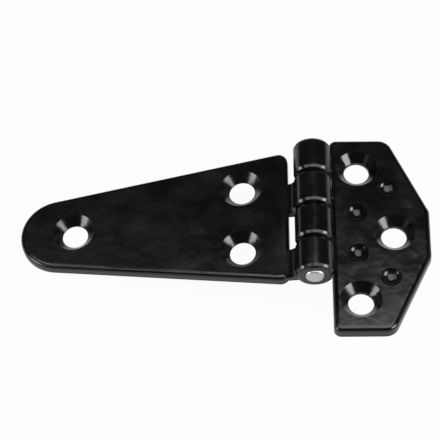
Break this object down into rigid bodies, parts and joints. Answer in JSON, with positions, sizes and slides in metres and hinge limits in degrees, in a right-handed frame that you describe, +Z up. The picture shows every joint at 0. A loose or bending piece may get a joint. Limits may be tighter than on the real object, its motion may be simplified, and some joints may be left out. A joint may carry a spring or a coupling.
{
  "type": "strap hinge",
  "caption": "Black moulded plastic strap hinge with a raised barrel: a long tapered strap leaf swings on a steel pin above a short plate leaf, with countersunk screw holes.",
  "frame": {"origin": "bottom centre of the hinge as it lies: the plate's back is on z = 0 and the strap's tip touches it", "axes": "+X from the strap's tip to the plate, +Y along the pin, +Z up out of the plate's screw face"},
  "size_m": [0.0892, 0.0494, 0.0157],
  "materials": {
    "black_plastic": "moulded black nylon, satin",
    "steel_pin": "bright drawn stainless steel"
  },
  "bodies": {
    "plate": {"plate_leaf": "black_plastic", "hinge_pin": "steel_pin"},
    "strap": {"strap_leaf": "black_plastic"}
  },
  "joints": [
    {"name": "strap_swing", "type": "hinge", "parent": "plate", "child": "strap", "pos_m": [0.0189, 0, 0.0116], "axis": [0, 1, 0], "range_deg": [-55, 203]}
  ]
}
